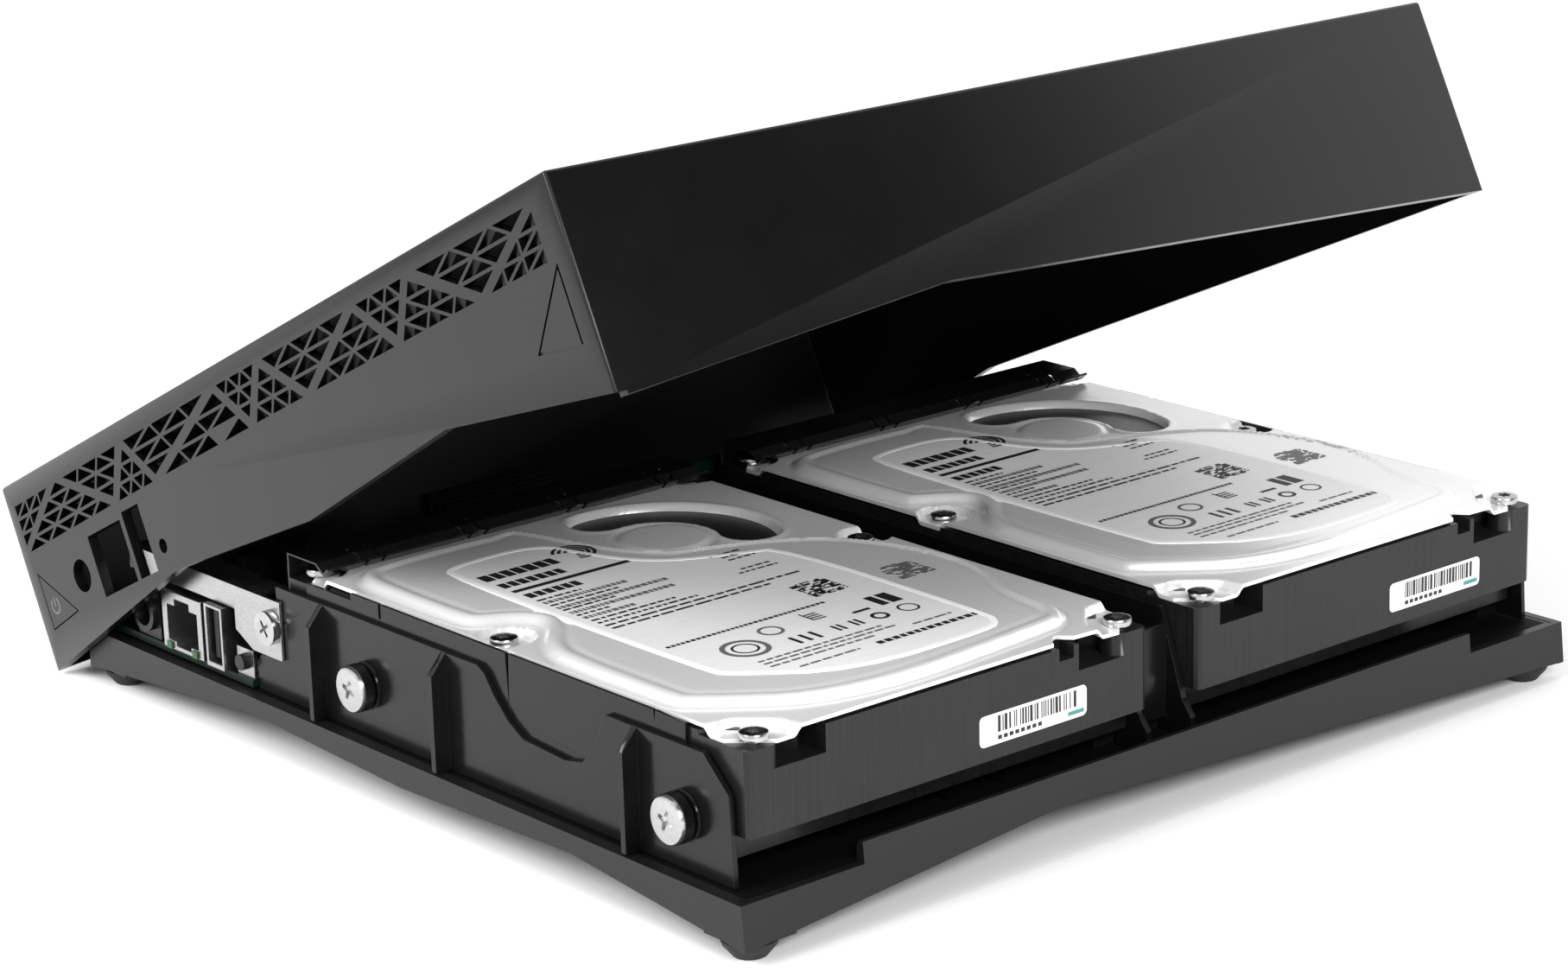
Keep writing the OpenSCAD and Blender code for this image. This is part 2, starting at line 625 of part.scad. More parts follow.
module network_led() {
    color([0.3, 0.75, 0.4]) for (x = [net_x - 5.9, net_x + 4.1])
        block([x, 112.65, 13.6], [x + 1.8, 113.1, 15.2]);
}

module usb_socket() {
    color(col_metal) difference() {
        block([usb_x - 3.3, 98, board_top + 0.02], [usb_x + 3.2, 113.2, 27.4]);
        block([usb_x - 2.7, 99, 14.6], [usb_x + 2.6, 114, 26.7]);
    }
}

module usb_tongue() {
    color([0.06, 0.06, 0.06]) block([usb_x - 0.1, 99.02, 15.4], [usb_x + 1.5, 111.8, 25.9]);
}

module dc_socket() {
    color(col_black) difference() {
        union() {
            block([dc_x - 4.6, 98, board_top + 0.02], [dc_x + 4.6, 111.4, port_z + 4.9]);
            rod_y(dc_x, port_z, 111.2, 113, 4.2);
        }
        rod_y(dc_x, port_z, 101, 114, 2.9);
    }
    color(col_metal) rod_y(dc_x, port_z, 100.9, 111, 0.95);
}

module reset_switch() {
    color(col_metal) difference() {
        block([reset_x - 3.1, 106.4, board_top + 0.02], [reset_x + 3.1, 111.2, 19.6]);
        rod_y(reset_x, 16.8, 108, 112, 1.8);
    }
}

module reset_plunger() {
    color([0.07, 0.07, 0.07]) rod_y(reset_x, 16.8, 109, 112.8, 1.74);
}

module power_switch() {
    color(col_black) {
        block([103.2, 106.2, board_top + 0.02], [109.4, 109.4, 19.4]);
        rod_y(107, 16.4, 109.3, 111.4, 1.6);
    }
}

module capacitors() {
    color([0.2, 0.22, 0.3]) for (p = [[98, 80], [98, 70], [88, 62]])
        translate([p[0], p[1], board_top + 0.02]) difference() {
            cylinder(r = 4, h = 11);
            for (a = [0, 90]) rotate([0, 0, a]) translate([-2.6, -0.15, 10.7]) cube([5.2, 0.3, 1]);
        }
}

module processor() {
    color([0.08, 0.08, 0.08]) block([68, 8, board_top + 0.02], [92, 32, board_top + 1.8]);
}

module heat_sink() {
    color(col_metal) union() {
        block([64, 4, board_top + 1.82], [96, 36, board_top + 4.2]);
        for (i = [0 : 9]) block([64 + i * 3.4, 4, board_top + 4], [65.4 + i * 3.4, 36, board_top + 15]);
    }
}

module memory_chips() {
    color([0.06, 0.06, 0.06]) for (i = [0 : 3])
        block([66 + (i % 2) * 16, -16 - floor(i / 2) * 16, board_top + 0.02],
            [78 + (i % 2) * 16, -6 - floor(i / 2) * 16, board_top + 1.2]);
}

placed() tray();
placed() feet();
placed() lid_shell();
placed() power_button();
placed() rail_rear();
placed() rail_middle();
placed() rail_front();
placed() rail_screws();
placed() liner(1);  // liner_1
placed() liner(-1);  // liner_2
placed() color(col_metal) thumbscrew(hole_xa, 1);  // thumbscrew_1
placed() color(col_metal) thumbscrew(hole_xb, 1);  // thumbscrew_2
placed() color(col_metal) thumbscrew(hole_xa, -1);  // thumbscrew_3
placed() color(col_metal) thumbscrew(hole_xb, -1);  // thumbscrew_4
placed() disk_body(1);  // disk_1_body
placed() disk_cover(1);  // disk_1_cover
placed() disk_screws(1);  // disk_1_screws
placed() disk_label(1);  // disk_1_label
placed() disk_sticker(1);  // disk_1_sticker
placed() disk_board(1);  // disk_1_board
placed() disk_plug(1);  // disk_1_plug
placed() disk_body(2);  // disk_2_body
placed() disk_cover(2);  // disk_2_cover
placed() disk_screws(2);  // disk_2_screws
placed() disk_label(2);  // disk_2_label
placed() disk_sticker(2);  // disk_2_sticker
placed() disk_board(2);  // disk_2_board
placed() disk_plug(2);  // disk_2_plug
placed() cable_guard(1);  // cable_guard_1
placed() cable_guard(2);  // cable_guard_2
placed() backplane();
placed() backplane_sockets();
placed() main_board();
placed() board_screws();
placed() port_bracket();
placed() bracket_screw();
placed() network_socket();
placed() network_led();
placed() usb_socket();
placed() usb_tongue();
placed() dc_socket();
placed() reset_switch();
placed() reset_plunger();
placed() power_switch();
placed() capacitors();
placed() processor();
placed() heat_sink();
placed() memory_chips();
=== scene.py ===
"""Looks of a two-bay storage enclosure with its box lid tipped open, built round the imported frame.

Lengths below are millimetres in the tray's own frame, which has its origin under the tray's
centre: X along the port panel, +Y out of the port panel, Z up. Shape.done() turns them into metres
in the row frame, and swings what rides on the lid to its opened place.
"""

import math
import random

import bmesh
import bpy
import numpy as np
from mathutils import Matrix, Vector
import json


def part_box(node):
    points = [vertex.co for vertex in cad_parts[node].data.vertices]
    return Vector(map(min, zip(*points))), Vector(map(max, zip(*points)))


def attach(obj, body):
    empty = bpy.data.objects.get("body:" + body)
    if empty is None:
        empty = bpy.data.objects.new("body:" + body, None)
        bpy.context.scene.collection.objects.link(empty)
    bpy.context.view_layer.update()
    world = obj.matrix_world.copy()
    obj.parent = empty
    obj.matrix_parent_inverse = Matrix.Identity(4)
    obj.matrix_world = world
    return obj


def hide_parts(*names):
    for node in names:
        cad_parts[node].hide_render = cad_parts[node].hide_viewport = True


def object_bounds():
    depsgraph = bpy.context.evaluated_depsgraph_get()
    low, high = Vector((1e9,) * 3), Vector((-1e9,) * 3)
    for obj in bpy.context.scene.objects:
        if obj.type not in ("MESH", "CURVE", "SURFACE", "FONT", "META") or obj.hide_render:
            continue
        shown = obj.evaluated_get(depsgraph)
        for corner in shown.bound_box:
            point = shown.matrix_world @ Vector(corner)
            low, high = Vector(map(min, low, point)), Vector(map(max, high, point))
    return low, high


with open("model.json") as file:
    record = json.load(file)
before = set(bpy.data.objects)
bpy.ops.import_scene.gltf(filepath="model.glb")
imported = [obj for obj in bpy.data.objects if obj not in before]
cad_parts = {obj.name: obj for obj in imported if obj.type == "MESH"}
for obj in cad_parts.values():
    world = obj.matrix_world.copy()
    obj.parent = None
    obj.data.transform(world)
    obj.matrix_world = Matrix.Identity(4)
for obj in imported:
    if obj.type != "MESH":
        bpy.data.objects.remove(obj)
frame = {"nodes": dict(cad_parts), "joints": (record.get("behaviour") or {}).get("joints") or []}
cad_lo, cad_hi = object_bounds()
NODES = frame["nodes"]
MM = 0.001
TINY = 1e-6              # a radius or length taken as nothing

# ------------------------------------------------------------------ sizes, as in the CAD
DISK_X0, DISK_Z, DISK_W, DISK_L = -107.8, 15.6, 101.6, 147.0
FLANGE = 40.3            # top of the cover's flange
DISK_TOP = 38.9          # top of the casting
LX, LY = 115.8, 117.7    # half sizes of the lid
LID_Z, LID_TOP, LID_T = 2.5, 45.5, 2.4
TX, TY = 112.8, 114.7    # half sizes of the tray
FLOOR = 11.2
RAIL_Y, RAIL_TOP, THUMB_Y = 110.6, 35.9, 114.8
HOLE_X = (DISK_X0 + 16.9, DISK_X0 + 118.5)
HOLE_Z = DISK_Z + 6.35
BOARD_TOP = 13.4
SHIFT = Vector((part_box("disk_1_body")[0].x / MM - DISK_X0, 0,
                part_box("disk_1_body")[0].z / MM - DISK_Z))
LID_JOINT = next(j for j in frame["joints"] if j["name"] == "lid_swing")
LID_ANGLE = math.radians(-LID_JOINT["range_deg"][0])
HINGE = Vector(LID_JOINT["pos_m"])
TO_ROW = Matrix.Diagonal((MM, MM, MM, 1)) @ Matrix.Translation(SHIFT)
OPENED = (Matrix.Translation(HINGE) @ Matrix.Rotation(LID_ANGLE, 4, "Y")
          @ Matrix.Translation(-HINGE) @ TO_ROW)


# ------------------------------------------------------------------ mesh helpers
def at(plane, p, q, a):
    """A point of a drawing plane: p and q in the plane, a along its normal."""
    return {"xy": (p, q, a), "xz": (p, a, q), "yz": (a, p, q)}[plane]


def round_edges(bm, width, segments=2, angle=28):
    """Rounds every edge that turns more than the angle."""
    bm.normal_update()
    sharp = [e for e in bm.edges if len(e.link_faces) == 2
             and e.calc_face_angle(0) > math.radians(angle)]
    if sharp and width > 0:
        bmesh.ops.bevel(bm, geom=sharp, offset=width, segments=segments, profile=0.5,
                        affect="EDGES", clamp_overlap=True)


def chaikin(loop, rounds=2, closed=True):
    """Cuts the corners of an outline to round it."""
    pts = [tuple(p) for p in loop]
    for _ in range(rounds):
        new = []
        n = len(pts)
        for i in range(n if closed else n - 1):
            a, b = pts[i], pts[(i + 1) % n]
            new += [tuple(0.75 * x + 0.25 * y for x, y in zip(a, b)),
                    tuple(0.25 * x + 0.75 * y for x, y in zip(a, b))]
        pts = new if closed else [pts[0]] + new + [pts[-1]]
    return pts


def arc(cx, cy, r, a0, a1, n=12):
    """Points of an arc, angles in degrees."""
    return [(cx + r * math.cos(math.radians(a0 + (a1 - a0) * i / n)),
             cy + r * math.sin(math.radians(a0 + (a1 - a0) * i / n))) for i in range(n + 1)]


def rectangle(p0, p1, q0, q1):
    """Corners of an upright rectangle."""
    return [(p0, q0), (p1, q0), (p1, q1), (p0, q1)]


class Shape:
    """Collects closed solids and becomes one piece."""

    def __init__(self):
        self.bm = bmesh.new()

    def merge(self, part):
        """Takes in another bmesh and frees it."""
        me = bpy.data.meshes.new("part")
        part.to_mesh(me)
        part.free()
        self.bm.from_mesh(me)
        bpy.data.meshes.remove(me)
        return self

    def prism(self, loop, a0, a1, plane="xz", width=0.0, segments=2):
        """An extruded outline, its edges rounded by width."""
        b = bmesh.new()
        low = [b.verts.new(at(plane, p, q, a0)) for p, q in loop]
        high = [b.verts.new(at(plane, p, q, a1)) for p, q in loop]
        n = len(loop)
        b.faces.new(low)
        b.faces.new(high[::-1])
        for i in range(n):
            b.faces.new((low[i], high[i], high[(i + 1) % n], low[(i + 1) % n]))
        bmesh.ops.recalc_face_normals(b, faces=b.faces)
        round_edges(b, width, segments)
        return self.merge(b)

    def box(self, lo, hi, width=0.2, segments=2):
        """A block between two corners, its edges rounded by width."""
        return self.prism(rectangle(lo[0], hi[0], lo[1], hi[1]), lo[2], hi[2], "xy", width, segments)

    def lathe(self, profile, centre, axis="y", n=48):
        """A profile of (radius, height) turned round an axis through the centre."""
        b = bmesh.new()
        rings = []
        for r, h in profile:
            if r < TINY:
                rings.append([b.verts.new((0, 0, h))])
            else:
                rings.append([b.verts.new((r * math.cos(2 * math.pi * i / n),
                                           r * math.sin(2 * math.pi * i / n), h))
                              for i in range(n)])
        for lo, hi in zip(rings, rings[1:]):
            for i in range(n):
                j = (i + 1) % n
                quad = [lo[i % len(lo)], lo[j % len(lo)], hi[j % len(hi)], hi[i % len(hi)]]
                face = list(dict.fromkeys(quad))
                if len(face) > 2:
                    b.faces.new(face)
        for ring in (rings[0], rings[-1]):
            if len(ring) > 1:
                b.faces.new(ring)
        bmesh.ops.recalc_face_normals(b, faces=b.faces)
        turn = {"z": Matrix.Identity(4), "y": Matrix.Rotation(-math.pi / 2, 4, "X")}[axis]
        b.transform(Matrix.Translation(centre) @ turn)
        return self.merge(b)

    def strip(self, loop, width, z0, z1, closed=True, plane="xy"):
        """A flat band of the given width that follows a line."""
        b = bmesh.new()
        n = len(loop)
        rows = []
        for i in range(n):
            a = Vector(loop[i - 1] if closed or i else loop[0])
            c = Vector(loop[(i + 1) % n] if closed or i < n - 1 else loop[-1])
            t = (c - a).normalized()
            side = Vector((-t.y, t.x)) * width / 2
            p = Vector(loop[i])
            rows.append([b.verts.new(at(plane, *(p + side), z0)),
                         b.verts.new(at(plane, *(p + side), z1)),
                         b.verts.new(at(plane, *(p - side), z1)),
                         b.verts.new(at(plane, *(p - side), z0))])
        for i in range(n if closed else n - 1):
            r, s = rows[i], rows[(i + 1) % n]
            for k in range(4):
                b.faces.new((r[k], r[(k + 1) % 4], s[(k + 1) % 4], s[k]))
        if not closed:
            b.faces.new(rows[0])
            b.faces.new(rows[-1][::-1])
        bmesh.ops.recalc_face_normals(b, faces=b.faces)
        return self.merge(b)

    def mirror_y(self):
        """Reflects what has been collected to the other side."""
        self.bm.transform(Matrix.Scale(-1, 4, Vector((0, 1, 0))))
        bmesh.ops.reverse_faces(self.bm, faces=self.bm.faces)
        return self

    def cut(self, *cutters, operation="DIFFERENCE", solver="EXACT"):
        """Takes the cutters away, or keeps only what they hold with operation INTERSECT."""
        obj = loose(self.bm, "work")
        for c in cutters:
            other = loose(c.bm, "cutter")
            m = obj.modifiers.new("cut", "BOOLEAN")
            m.operation, m.object, m.solver = operation, other, solver
            bpy.context.view_layer.update()
            me = bpy.data.meshes.new_from_object(
                obj.evaluated_get(bpy.context.evaluated_depsgraph_get()))
            obj.modifiers.clear()
            obj.data = me
            bpy.data.objects.remove(other)
        self.bm = bmesh.new()
        self.bm.from_mesh(obj.data)
        bpy.data.objects.remove(obj)
        return self

    def done(self, name, material, body="base", slot=None, stands_for=(), smooth=40,
             matrix=TO_ROW):
        """Makes the piece, shaded smooth up to an angle, and lets it ride its body."""
        me = bpy.data.meshes.new(name)
        self.bm.to_mesh(me)
        self.bm.free()
        me.transform(matrix)
        obj = bpy.data.objects.new(name, me)
        bpy.context.scene.collection.objects.link(obj)
        me.materials.append(material)
        me.shade_smooth()
        me.set_sharp_from_angle(angle=math.radians(smooth))
        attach(obj, body)
        if stands_for:
            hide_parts(*stands_for)
        return obj


def loose(bm, name):
    """An object of its own, out of a bmesh, which is freed."""
    me = bpy.data.meshes.new(name)
    bm.to_mesh(me)
    bm.free()
    obj = bpy.data.objects.new(name, me)
    bpy.context.scene.collection.objects.link(obj)
    return obj


# ------------------------------------------------------------------ materials
class Paint:
    """A principled material with its own noise, colour and bump nodes."""

    def __init__(self, name, **sockets):
        self.mat = bpy.data.materials.new(name)
        self.mat.use_nodes = True
        self.tree = self.mat.node_tree
        self.bsdf = self.tree.nodes["Principled BSDF"]
        for key, value in sockets.items():
            self.bsdf.inputs[key.replace("_", " ")].default_value = value
        self.where = self.add("ShaderNodeTexCoord").outputs["Object"]

    def add(self, kind, **inputs):
        """A node with its sockets linked or set, by name or, as i0 and i1, by number."""
        node = self.tree.nodes.new(kind)
        for key, value in inputs.items():
            socket = node.inputs[int(key[1:]) if key[0] == "i" and key[1:].isdigit()
                                 else key.replace("_", " ")]
            if isinstance(value, bpy.types.NodeSocket):
                self.tree.links.new(value, socket)
            else:
                socket.default_value = value
        return node

    def stretched(self, scale):
        return self.add("ShaderNodeMapping", Vector=self.where, Scale=scale).outputs[0]

    def noise(self, scale, detail=3.0, rough=0.55, stretch=None):
        where = self.stretched(stretch) if stretch else self.where
        return self.add("ShaderNodeTexNoise", Vector=where, Scale=scale, Detail=detail,
                        Roughness=rough).outputs["Fac"]

    def ramp(self, fac, stops):
        """A colour ramp; a stop's colour is a grey level or a triple."""
        node = self.add("ShaderNodeValToRGB", Fac=fac)
        ramp = node.color_ramp
        while len(ramp.elements) < len(stops):
            ramp.elements.new(0.5)
        for element, (pos, colour) in zip(ramp.elements, stops):
            element.position = pos
            element.color = (*colour, 1) if isinstance(colour, tuple) else (colour,) * 3 + (1,)
        return node.outputs[0]

    def range(self, fac, lo, hi, a=0.3, b=0.7):
        return self.add("ShaderNodeMapRange", Value=fac, From_Min=a, From_Max=b,
                        To_Min=lo, To_Max=hi).outputs[0]

    def math(self, operation, *values):
        node = self.add("ShaderNodeMath", **{f"i{i}": v for i, v in enumerate(values)})
        node.operation = operation
        return node.outputs[0]

    def set(self, key, output):
        self.tree.links.new(output, self.bsdf.inputs[key])
        return self

    def bump(self, height, strength, distance):
        """Bump on top of whatever bump is there."""
        node = self.add("ShaderNodeBump", Height=height, Strength=strength, Distance=distance)
        if self.bsdf.inputs["Normal"].is_linked:
            self.tree.links.new(self.bsdf.inputs["Normal"].links[0].from_socket,
                                node.inputs["Normal"])
        self.tree.links.new(node.outputs[0], self.bsdf.inputs["Normal"])
        return self


def moulded(name, dark, light, rough, grain=2600.0, depth=0.000015, spread=0.08, **more):
    """Moulded plastic or rubber with a fine spark-eroded grain."""
    p = Paint(name, **more)
    cloud = p.noise(14.0, 4.0)
    p.set("Base Color", p.ramp(cloud, [(0.3, dark), (0.7, light)]))
    p.set("Roughness", p.range(p.noise(60.0, 5.0), rough - spread / 2, rough + spread / 2))
    p.bump(p.noise(grain, 2.0), 0.35, depth)
    return p.mat


def tray_paint():
    """The tray's grained plastic, dead matt and darker over its inner floor; the darkening there is
    painted shade.
    """
    p = Paint("tray_plastic")
    rim = 3.0
    # mask of the floor inside the rim: it drives the painted shade in the colour and the matt, less
    # glossy surface
    inner_floor_shade_and_matt = None
    for axis, middle, reach in ((0, SHIFT.x * MM, TX - rim), (1, 0.0, TY - rim)):
        part = p.add("ShaderNodeSeparateXYZ", Vector=p.where).outputs[axis]
        off = p.math("ABSOLUTE", p.math("SUBTRACT", part, middle))
        inside = p.math("LESS_THAN", off, reach * MM)
        inner_floor_shade_and_matt = inside if inner_floor_shade_and_matt is None else p.math("MULTIPLY", inner_floor_shade_and_matt, inside)
    cloud = p.noise(14.0, 4.0)
    skin = p.math("MULTIPLY_ADD", cloud, 0.004, 0.005)
    # painted shade: the inner floor's colour falls to 30 percent, standing in for the shade of the
    # disks and the lid over it
    p.set("Base Color", p.math("MULTIPLY", skin, p.math("MULTIPLY_ADD", inner_floor_shade_and_matt, -0.7, 1.0)))
    rough = p.math("MULTIPLY_ADD", cloud, 0.04, 0.32)
    p.set("Roughness", p.math("MULTIPLY_ADD", inner_floor_shade_and_matt, 0.3, rough))
    p.set("Specular IOR Level", p.math("MULTIPLY_ADD", inner_floor_shade_and_matt, -0.27, 0.36))
    p.bump(p.noise(2600.0, 2.0), 0.35, 0.000012)
    return p.mat


def metal(name, dark, light, rough, stretch=(1, 1, 1), scale=900.0, metallic=1.0, depth=0.000006,
          spread=0.12, **more):
    """Metal with fine rolled or brushed lines."""
    p = Paint(name, Metallic=metallic, **more)
    lines = p.noise(scale, 4.0, 0.6, stretch)
    p.set("Base Color", p.ramp(lines, [(0.3, dark), (0.7, light)]))
    p.set("Roughness", p.range(p.noise(40.0, 4.0), rough - spread / 2, rough + spread / 2))
    p.bump(lines, 0.3, depth)
    return p.mat


# name in this script: material, with its two greys or colours and its roughness
M = {
    "shell": moulded("shell_plastic", 0.0025, 0.0035, 0.25, depth=0.000004, spread=0.03,
                     Specular_IOR_Level=0.42),
    "tray": tray_paint(),
    "rail": moulded("rail_plastic", 0.004, 0.006, 0.2, grain=1800.0, depth=0.00001,
                    Specular_IOR_Level=0.3),
    "liner": moulded("liner_film", 0.004, 0.006, 0.2, grain=1200.0, Specular_IOR_Level=0.3),
    "rubber": moulded("foot_rubber", 0.010, 0.016, 0.75, grain=1500.0, depth=0.00004),
    "plug": moulded("plug_plastic", 0.004, 0.007, 0.3, Specular_IOR_Level=0.35),
    "guard": metal("guard_steel", 0.05, 0.08, 0.22, (1, 8, 1), metallic=0.9, spread=0.04),
    "casting": metal("casting_coat", 0.005, 0.012, 0.30, (1, 1, 0.02), 1500.0, metallic=0.0,
                     Specular_IOR_Level=0.36),
    "cover": metal("cover_sheet", 0.88, 0.94, 0.22, (0.04, 1, 1), 1600.0, metallic=0.42, spread=0.02,
                   depth=0.000003),
    "label": metal("label_foil", 0.84, 0.90, 0.36, (1, 0.06, 1), 1200.0, metallic=0.10, spread=0.03),
    "border": metal("label_border", 0.92, 0.96, 0.45, metallic=0.0),
    "ink": moulded("printing_ink", 0.008, 0.014, 0.5),
    "ink_pale": moulded("printing_ink_pale", 0.10, 0.14, 0.5),
    "paper": moulded("sticker_paper", 0.72, 0.80, 0.55, grain=3000.0),
    "teal": moulded("sticker_teal", (0.05, 0.22, 0.20), (0.08, 0.30, 0.26), 0.5),
    "steel": metal("plated_steel", 0.44, 0.56, 0.22, scale=700.0),
    "nickel": metal("nickel_face", 0.46, 0.56, 0.26, scale=1100.0, metallic=0.95),
    "knurl": metal("black_oxide", 0.015, 0.03, 0.38, metallic=0.8),
    "port": metal("port_tin", 0.38, 0.52, 0.26, (1, 1, 6)),
    "sink": metal("sink_black_anodised", 0.010, 0.016, 0.5, metallic=0.2, Specular_IOR_Level=0.2),
    "board": moulded("board_resist", (0.002, 0.008, 0.005), (0.004, 0.013, 0.008), 0.4, grain=900.0,
                     Specular_IOR_Level=0.3),
    "symbol": moulded("symbol_grey", 0.10, 0.14, 0.5),
    "led": moulded("led_lens", (0.006, 0.05, 0.018), (0.015, 0.09, 0.035), 0.3),
    "cap": moulded("capacitor_sleeve", (0.003, 0.004, 0.006), (0.006, 0.007, 0.010), 0.5,
                   Specular_IOR_Level=0.2),
}

# material of each CAD node
CAD_LOOK = {
    "tray": "tray", "feet": "rubber", "lid_shell": "shell", "power_button": "shell",
    "rail_rear": "rail", "rail_middle": "rail", "rail_front": "rail", "rail_screws": "steel",
    "liner_1": "liner", "liner_2": "liner", "thumbscrew_1": "knurl", "thumbscrew_2": "knurl",
    "thumbscrew_3": "knurl", "thumbscrew_4": "knurl", "cable_guard_1": "guard",
    "cable_guard_2": "guard", "backplane": "board", "backplane_sockets": "plug",
    "main_board": "board", "board_screws": "steel", "port_bracket": "port",
    "bracket_screw": "steel", "network_socket": "port", "network_led": "led",
    "usb_socket": "port", "usb_tongue": "plug", "dc_socket": "plug", "reset_switch": "port",
    "reset_plunger": "plug", "power_switch": "plug", "capacitors": "cap", "processor": "plug",
    "heat_sink": "sink", "memory_chips": "plug",
}
for d in "12":
    CAD_LOOK.update({f"disk_{d}_body": "casting", f"disk_{d}_cover": "cover",
                     f"disk_{d}_screws": "steel", f"disk_{d}_label": "label",
                     f"disk_{d}_sticker": "paper", f"disk_{d}_board": "board",
                     f"disk_{d}_plug": "plug"})
for node, look in CAD_LOOK.items():
    obj = NODES[node]
    if not obj.material_slots:
        obj.data.materials.append(M[look])
    for s in obj.material_slots:
        s.material = M[look]


def soften(node, width, angle=30):
    """Welds a carried-over CAD mesh and breaks its sharp edges."""
    obj = NODES[node]
    weld = obj.modifiers.new("weld", "WELD")
    weld.merge_threshold = 0.00001
    m = obj.modifiers.new("edges", "BEVEL")
    m.width, m.segments, m.limit_method = width * MM, 2, "ANGLE"
    m.angle_limit = math.radians(angle)


# ------------------------------------------------------------------ lid
# lower edge of the port wall, of the far wall and of both end walls
FOLD_Y = [(-LX - 1, LID_Z + 0.9), (-61.0, 11.5), (-5.0, 7.5), (51.0, 10.9), (LX + 1, LID_Z)]
FOLD_FAR = [(-LX - 1, LID_Z), (51.0, LID_Z + 7.6), (LX + 1, LID_Z)]
FOLD_X = [(-LY - 1, LID_Z), (LY * 0.29, LID_Z + 7.1), (LY + 1, LID_Z)]
VENTS = [  # corners of each vent cell on the port wall, and its rows
    ([(-106.5, 41.3), (-67.5, 41.3), (-86, 31.2)], 3, ()),
    ([(-83, 30.3), (-56.5, 30.3), (-64, 40.2)], 3, ()),
    ([(-62, 41.3), (-44.5, 41.3), (-55, 32)], 3, ()),
    ([(-53, 30.3), (-22, 30.3), (-42.5, 40.3)], 3, ()),
    ([(-39.5, 41.3), (-6, 41.3), (-19, 31.3)], 3, ()),
    ([(-16.5, 30.3), (3, 30.3), (-4, 40)], 3, ()),
    ([(-2, 41.3), (14, 41.3), (5, 32)], 3, ()),
    ([(6.5, 30.2), (44, 30.1), (16, 40.2)], 3, (2,)),
    ([(20, 41.2), (57, 41), (48, 31.1)], 3, ()),
    ([(50, 30), (66, 29.9), (58.5, 39.5)], 3, ()),
    ([(61, 40.9), (87, 40.6), (68, 31.4)], 3, ()),
    ([(70, 29.9), (111, 29.4), (91, 40.5)], 4, ()),
    ([(95.5, 40.4), (112, 40.2), (112, 31)], 3, ()),
    ([(-108.5, 40), (-108.5, 30.3), (-89, 30.3)], 3, ()),
]
BAR = 0.36   # half width of the thin vent bars
BUTTON = [(111, 23.8), (98.5, 12.8), (111, 11.5)]        # power key in the port wall
MARK = [(-111, 28.9), (-97.3, 16), (-111, 13.8)]         # engraved triangle at its free end
PORT_Z, POWER_X = 19.2, 91.7                             # middle of the power hole


def inset(tri, g):
    """A triangle with each side moved inwards by g."""
    p = [Vector(t) for t in tri]
    if (p[1] - p[0]).cross(p[2] - p[0]) < 0:
        p = [p[0], p[2], p[1]]
    lines = []
    for i in range(3):
        d = (p[(i + 1) % 3] - p[i]).normalized()
        lines.append((p[i] + Vector((-d.y, d.x)) * g, d))
    out = []
    for i in range(3):
        (a, d), (b, e) = lines[i - 1], lines[i]
        t = (b - a).cross(e) / d.cross(e)
        out.append(tuple(a + d * t))
    return out


def vent_cells():
    """Each cell is a triangle divided into rows of smaller ones with thin bars between."""
    for corners, n, solid in VENTS:
        a, b, c = (Vector(v) for v in inset(corners, -BAR))
        k = 0
        for i in range(n):
            for j in range(n - i):
                for up in (True, False):
                    if not up and j == n - i - 1:
                        continue
                    s = [(i, j), (i + 1, j), (i, j + 1)] if up else [(i + 1, j), (i + 1, j + 1),
                                                                     (i, j + 1)]
                    k += 1
                    if k in solid:
                        continue
                    yield inset([a + (b - a) * y / n + (c - a) * x / n for x, y in s], BAR)


def make_lid():
    """Box lid with folded lower edges, vents, port cut-outs and inner ribs."""
    shell = Shape().box((-LX, -LY, LID_Z - 4), (LX, LY, LID_TOP), 0.8, 3)
    hollow = Shape().box((-LX + LID_T, -LY + LID_T, -9), (LX - LID_T, LY - LID_T, LID_TOP - LID_T),
                         0.6, 2)
    reach = LID_T + 0.3      # past the wall's inner face
    lower = Shape()
    for fold, a0, a1 in ((FOLD_FAR, -LY - 1, -LY + reach), (FOLD_Y, LY - reach, LY + 1)):
        lower.prism(fold + [(LX + 1, -8), (-LX - 1, -8)], a0, a1, "xz")
    sides = Shape()
    for a0, a1 in ((-LX - 1, -LX + reach), (LX - reach, LX + 1)):
        sides.prism(FOLD_X + [(LY + 1, -7), (-LY - 1, -7)], a0, a1, "yz")
    holes = Shape()
    for tri in vent_cells():
        holes.prism(tri, LY - LID_T - 1, LY + 1)
    ports = Shape()
    for outline in (rectangle(59.2, 67, 12.5, 27.5), rectangle(68.6, 84.3, 12.5, 26.3),
                    arc(POWER_X, PORT_Z, 3.7, 0, 345, 23), arc(54, 16.8, 1.6, 0, 345, 23),
                    inset(BUTTON, -0.3)):
        ports.prism(outline, LY - 4, LY + 1)
    groove = Shape().prism(inset(MARK, -0.25), LY - 0.45, LY + 1)
    groove.cut(Shape().prism(inset(MARK, 0.25), LY - 2, LY + 2))
    shell.cut(hollow, lower, sides, holes, ports, groove)
    for y in (-80, -40, 0, 40, 80):      # ribs inside the free end
        shell.box((-LX + 1.5, y - 0.7, 19), (-LX + 3.6, y + 0.7, LID_TOP - 1.5), 0.2)
    shell.done("lid_case", M["shell"], "lid", "shell_black", ["lid_shell"], 30, OPENED)


make_lid()

